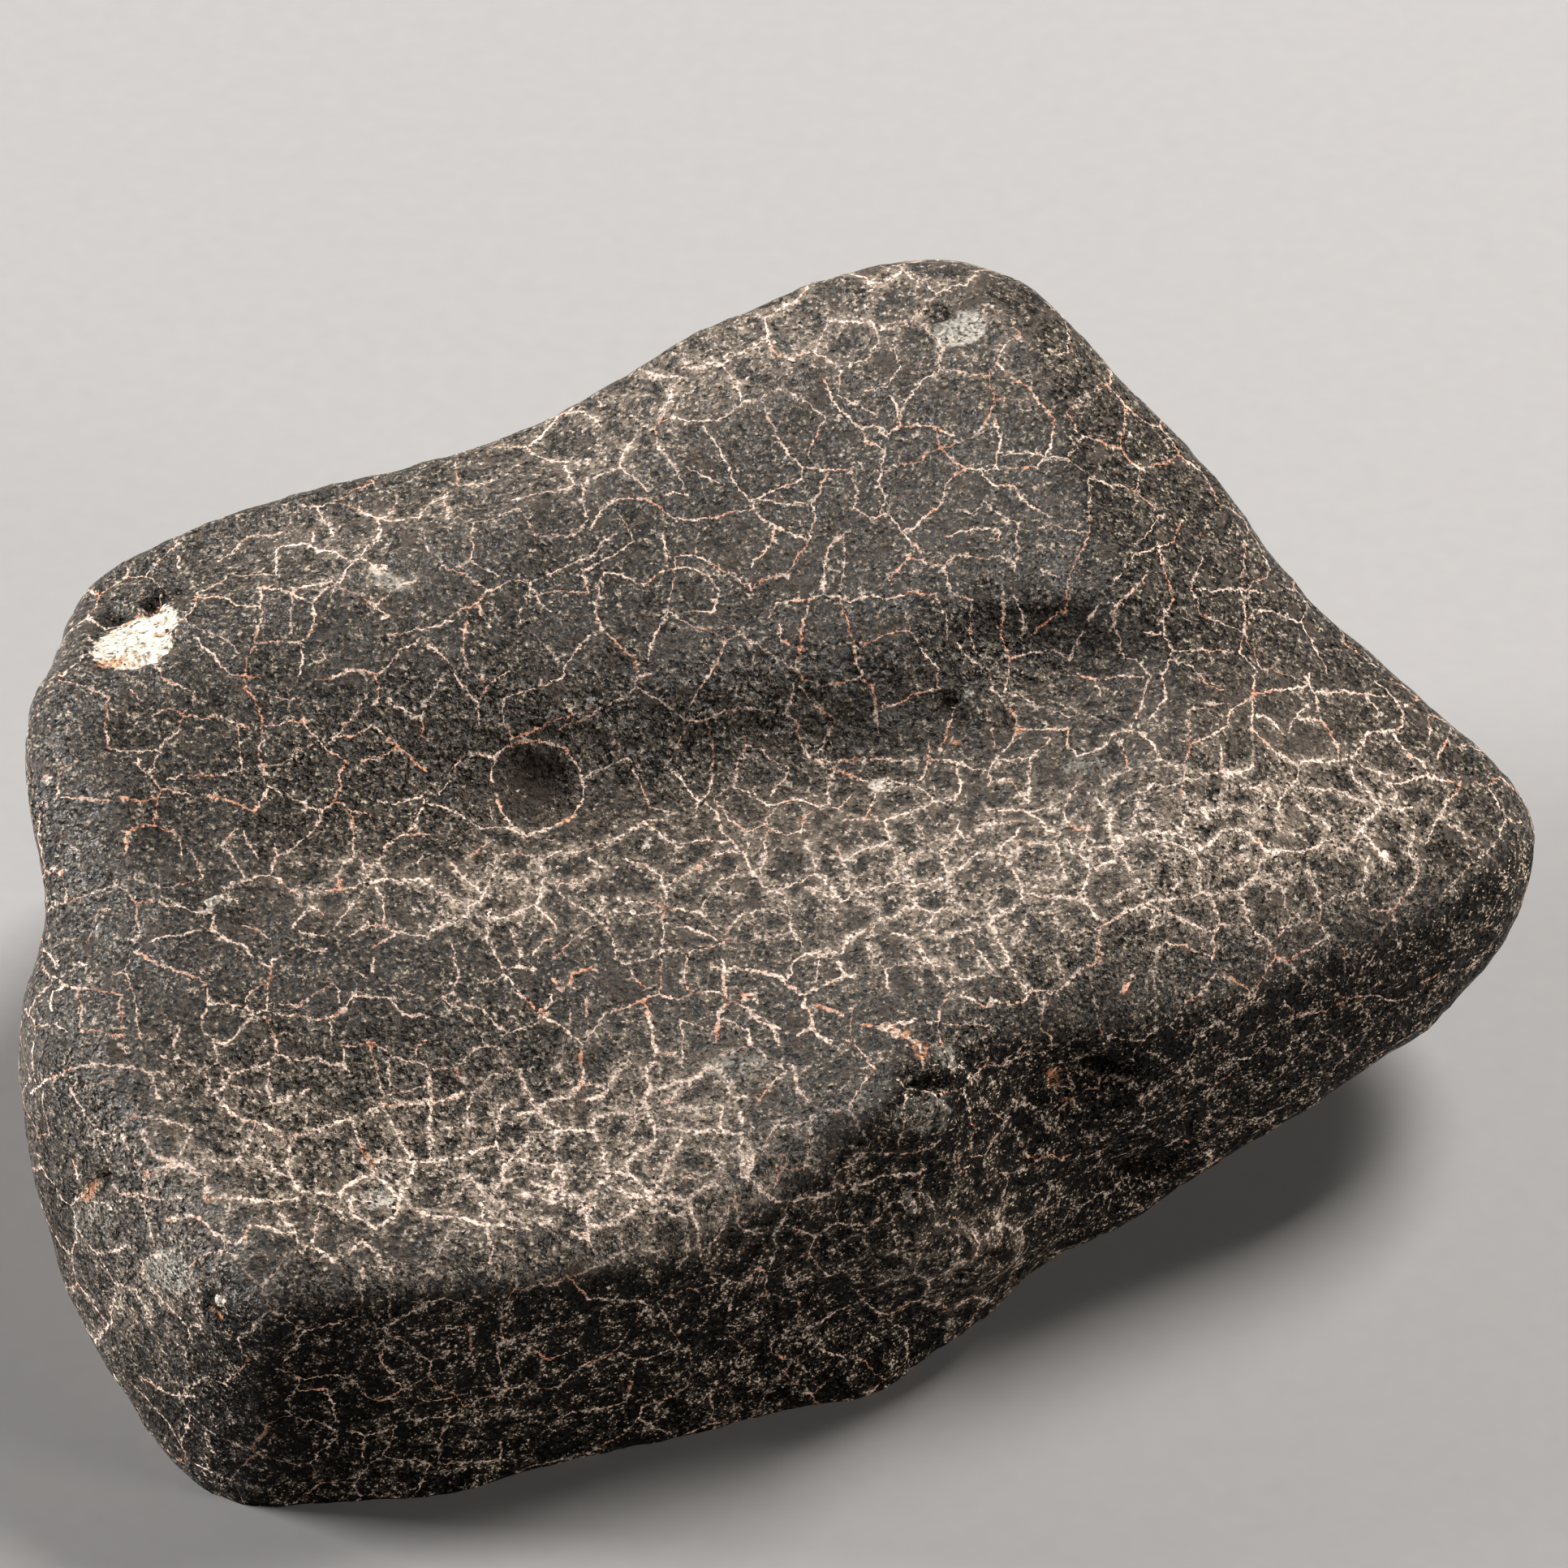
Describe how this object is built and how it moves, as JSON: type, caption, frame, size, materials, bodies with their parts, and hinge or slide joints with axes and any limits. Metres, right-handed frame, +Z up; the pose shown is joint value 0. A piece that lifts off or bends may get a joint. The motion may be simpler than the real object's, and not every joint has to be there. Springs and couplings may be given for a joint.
{
  "type": "chondrite meteorite",
  "caption": "Stony meteorite with rounded facets, a high back corner, two shallow troughs and a dark crust crossed by a fine net of pale cracks; rests on a flat spot.",
  "frame": {"origin": "middle of the stone's box, on the surface that it rests on", "axes": "+Z up, +X along the stone's length towards its raised end, -Y towards the broad sloping side"},
  "size_m": [0.0662, 0.052, 0.0315],
  "materials": {
    "fusion_crust": "dark grey-black satin crust with fine grain, pale tan dusting in the hollows and thin peach-coloured cracks"
  },
  "bodies": {
    "root": {"meteorite": "fusion_crust"}
  },
  "joints": []
}
